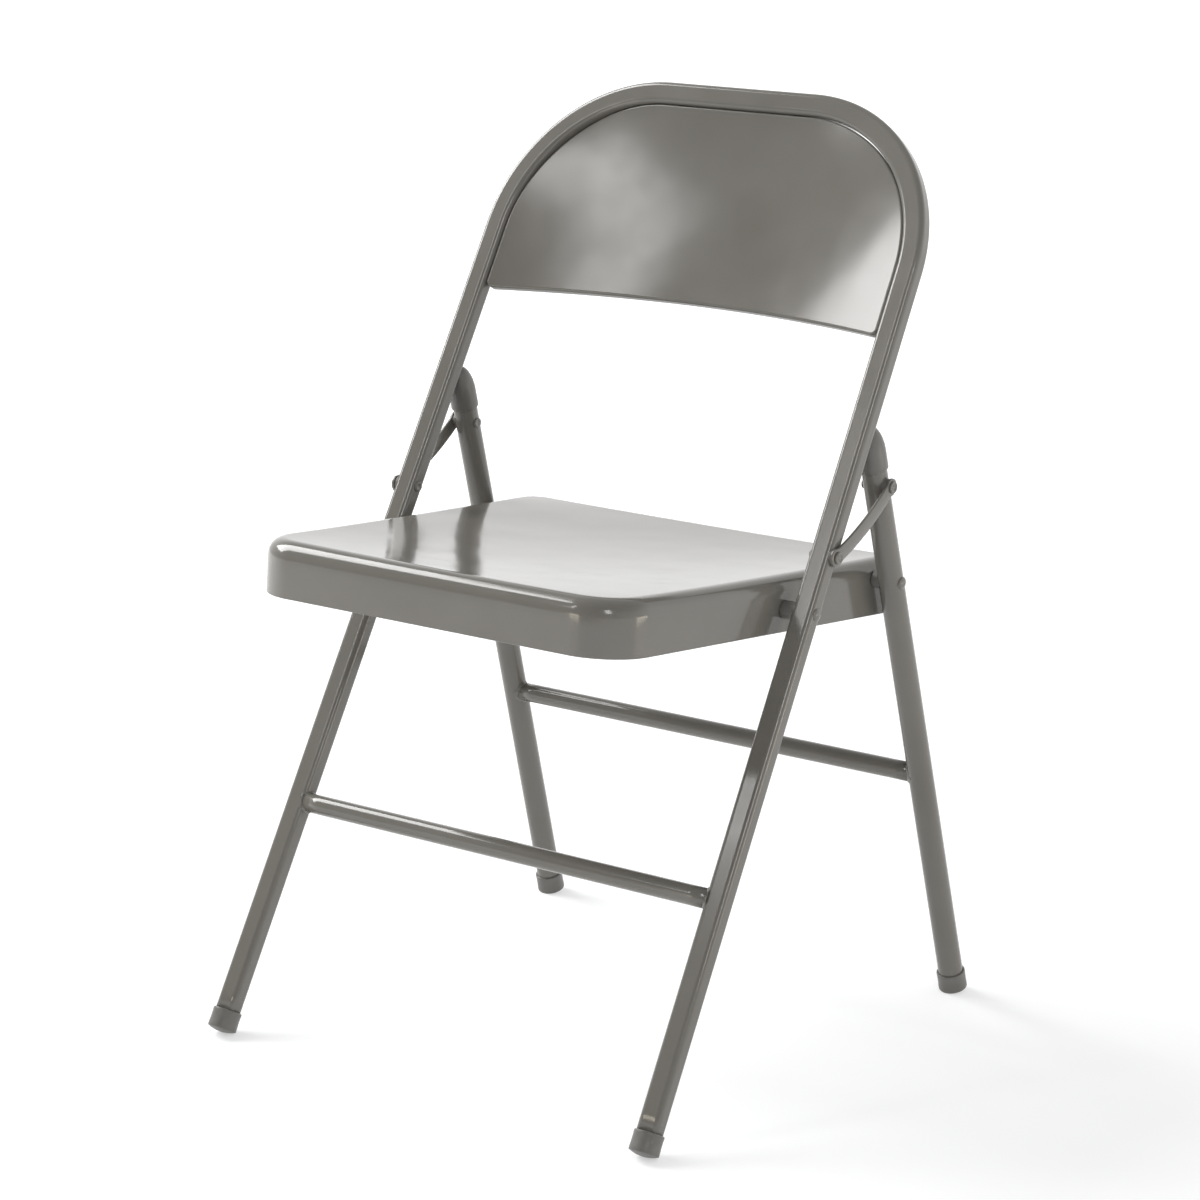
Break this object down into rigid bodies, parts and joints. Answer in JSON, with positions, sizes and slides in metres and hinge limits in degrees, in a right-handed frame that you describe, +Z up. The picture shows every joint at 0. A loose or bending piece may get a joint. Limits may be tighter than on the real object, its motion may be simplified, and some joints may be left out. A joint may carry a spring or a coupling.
{
  "type": "folding chair",
  "caption": "Steel folding chair: pressed seat and back panel on a bent tube frame, with straight rear legs and short side links that fold it flat.",
  "frame": {"origin": "on the floor, under the middle of the chair's bounding box", "axes": "+Z up, the longest extent; +X to the right seen from the front, the shortest extent; +Y towards the back"},
  "size_m": [0.4718, 0.4854, 0.779],
  "materials": {
    "tube_paint": "semi-gloss taupe grey enamel",
    "sheet_paint": "semi-gloss taupe grey enamel on pressed sheet",
    "rivet_steel": "enamelled steel, worn at the rim",
    "spacer_plastic": "matt grey",
    "foot_plastic": "matt grey, slightly scuffed"
  },
  "bodies": {
    "front_frame": {"front_frame_tube": "tube_paint", "front_rail": "tube_paint", "front_rail_welds": "tube_paint", "back_panel": "sheet_paint", "back_panel_welds": "tube_paint", "left_front_foot": "foot_plastic", "right_front_foot": "foot_plastic", "seat_pivot_rivets": "rivet_steel", "seat_pivot_spacers": "spacer_plastic", "link_pivot_rivets": "rivet_steel", "link_pivot_washers": "spacer_plastic"},
    "seat": {"seat_pan": "sheet_paint", "seat_stiffener": "sheet_paint", "left_pivot_bracket": "sheet_paint", "right_pivot_bracket": "sheet_paint"},
    "rear_legs": {"left_rear_leg": "tube_paint", "right_rear_leg": "tube_paint", "rear_rail": "tube_paint", "rear_rail_welds": "tube_paint", "left_rear_foot": "foot_plastic", "right_rear_foot": "foot_plastic", "left_leg_cap": "foot_plastic", "right_leg_cap": "foot_plastic", "left_rear_pivot_rivet": "rivet_steel", "right_rear_pivot_rivet": "rivet_steel", "left_rear_pivot_spacer": "spacer_plastic", "right_rear_pivot_spacer": "spacer_plastic", "left_link_rivet_tail": "rivet_steel", "right_link_rivet_tail": "rivet_steel", "left_link_washer": "spacer_plastic", "right_link_washer": "spacer_plastic"},
    "left_link": {"left_link": "tube_paint", "left_link_rivet_head": "rivet_steel"},
    "right_link": {"right_link": "tube_paint", "right_link_rivet_head": "rivet_steel"}
  },
  "joints": [
    {"name": "seat_fold", "type": "hinge", "parent": "front_frame", "child": "seat", "pos_m": [0, -0.00297, 0.39333], "axis": [-1, 0, 0], "range_deg": [0, 105]},
    {"name": "rear_legs_fold", "type": "hinge", "parent": "seat", "child": "rear_legs", "pos_m": [0, 0.12606, 0.39284], "axis": [-1, 0, 0], "range_deg": [-58.25, 0]},
    {"name": "left_link_fold", "type": "hinge", "parent": "front_frame", "child": "left_link", "pos_m": [0, 0.02221, 0.43583], "axis": [-1, 0, 0], "range_deg": [0, 125.75]},
    {"name": "right_link_fold", "type": "hinge", "parent": "front_frame", "child": "right_link", "pos_m": [0, 0.02221, 0.43583], "axis": [-1, 0, 0], "range_deg": [0, 125.75]}
  ],
  "couplings": [
    {"joint": "rear_legs_fold", "follows": "seat_fold", "ratio": -0.55467},
    {"joint": "left_link_fold", "follows": "seat_fold", "ratio": 1.1975},
    {"joint": "right_link_fold", "follows": "seat_fold", "ratio": 1.1975}
  ]
}
